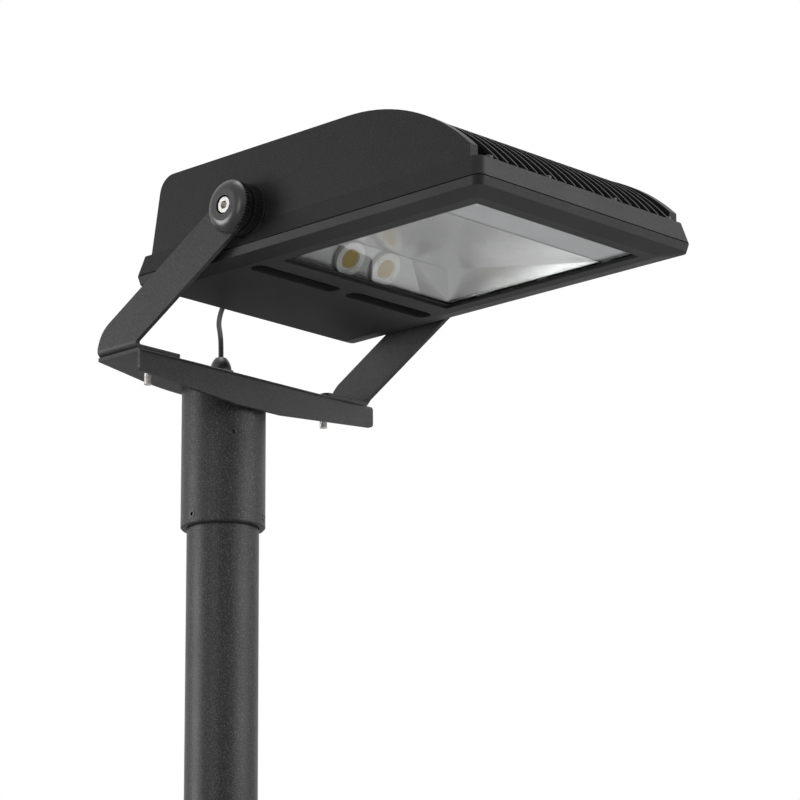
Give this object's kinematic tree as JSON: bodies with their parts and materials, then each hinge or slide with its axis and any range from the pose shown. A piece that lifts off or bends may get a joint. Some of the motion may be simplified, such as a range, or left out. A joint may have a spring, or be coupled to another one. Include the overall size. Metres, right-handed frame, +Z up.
{
  "type": "led spotlight",
  "caption": "Square floodlight head with cooling fins and an asymmetric reflector, tilting in a two-armed bracket on a slip sleeve that turns on a round mast top.",
  "frame": {"origin": "centre of the mast stub's lower end", "axes": "+Z up along the mast, -Y towards the front of the head, X along the tilt axis"},
  "size_m": [0.3714, 0.5559, 0.6643],
  "materials": {
    "cast_coat": "fine textured graphite powder coat on die-cast aluminium",
    "steel_coat": "fine textured graphite powder coat on steel",
    "bright_steel": "zinc plated or stainless",
    "knob_plastic": "ribbed black nylon",
    "gland_plastic": "moulded black nylon",
    "washer_plastic": "black nylon",
    "seal_rubber": "black silicone",
    "cable_sheath": "black rubber sheath",
    "window_glass": "clear toughened glass",
    "mirror_sheet": "bright anodised reflector sheet",
    "satin_sheet": "satin aluminium sheet",
    "shade_coat": "pale blue-grey paint",
    "led_board": "white coated metal-core board",
    "phosphor": "yellow phosphor gel",
    "holder_plastic": "white moulded plastic",
    "driver_case": "white moulded case",
    "terminal_plastic": "grey moulded plastic"
  },
  "bodies": {
    "mast": {"mast_tube": "steel_coat"},
    "bracket": {"pole_sleeve": "steel_coat", "lower_set_screws": "bright_steel", "upper_set_screws": "bright_steel", "saddle_channel": "steel_coat", "right_arm": "steel_coat", "left_arm": "steel_coat", "bracket_bolts": "bright_steel", "bracket_washers": "bright_steel", "bracket_nuts": "bright_steel", "pivot_washers": "washer_plastic", "saddle_gland_body": "gland_plastic", "saddle_gland_nut": "gland_plastic", "saddle_gland_seal": "seal_rubber", "saddle_gland_locknut": "gland_plastic", "mast_lead": "cable_sheath", "supply_cable": "cable_sheath"},
    "head": {"head_housing": "cast_coat", "lower_frame": "cast_coat", "right_lock_disc": "cast_coat", "left_lock_disc": "cast_coat", "frame_screws": "bright_steel", "glass_clips": "bright_steel", "clip_screws": "bright_steel", "holder_screws": "bright_steel", "driver_screws": "bright_steel", "head_gland_body": "gland_plastic", "head_gland_nut": "gland_plastic", "pressure_vent": "gland_plastic", "head_gland_seal": "seal_rubber", "frame_gasket": "seal_rubber", "glass_seal": "seal_rubber", "head_lead": "cable_sheath", "front_glass": "window_glass", "roof_reflector": "mirror_sheet", "side_reflectors": "mirror_sheet", "corner_reflectors": "mirror_sheet", "led_plate": "satin_sheet", "gear_tray": "satin_sheet", "front_shade": "shade_coat", "led_boards": "led_board", "led_discs": "phosphor", "led_holders": "holder_plastic", "led_driver": "driver_case", "terminal_block": "terminal_plastic"},
    "right_clamp": {"right_knob": "knob_plastic", "right_pivot_screw": "bright_steel"},
    "left_clamp": {"left_knob": "knob_plastic", "left_pivot_screw": "bright_steel"}
  },
  "joints": [
    {"name": "bracket_swivel", "type": "hinge", "parent": "mast", "child": "bracket", "pos_m": [0, 0, 0.4], "axis": [0, 0, 1], "range_deg": [-180, 180]},
    {"name": "head_tilt", "type": "hinge", "parent": "bracket", "child": "head", "pos_m": [0, -0.1934, 0.5987], "axis": [1, 0, 0], "range_deg": [-30, 10], "deforming": ["supply_cable"]},
    {"name": "right_knob_turn", "type": "hinge", "parent": "head", "child": "right_clamp", "pos_m": [0.17, -0.1934, 0.5987], "axis": [1, 0, 0], "continuous": true},
    {"name": "left_knob_turn", "type": "hinge", "parent": "head", "child": "left_clamp", "pos_m": [-0.17, -0.1934, 0.5987], "axis": [1, 0, 0], "continuous": true}
  ]
}
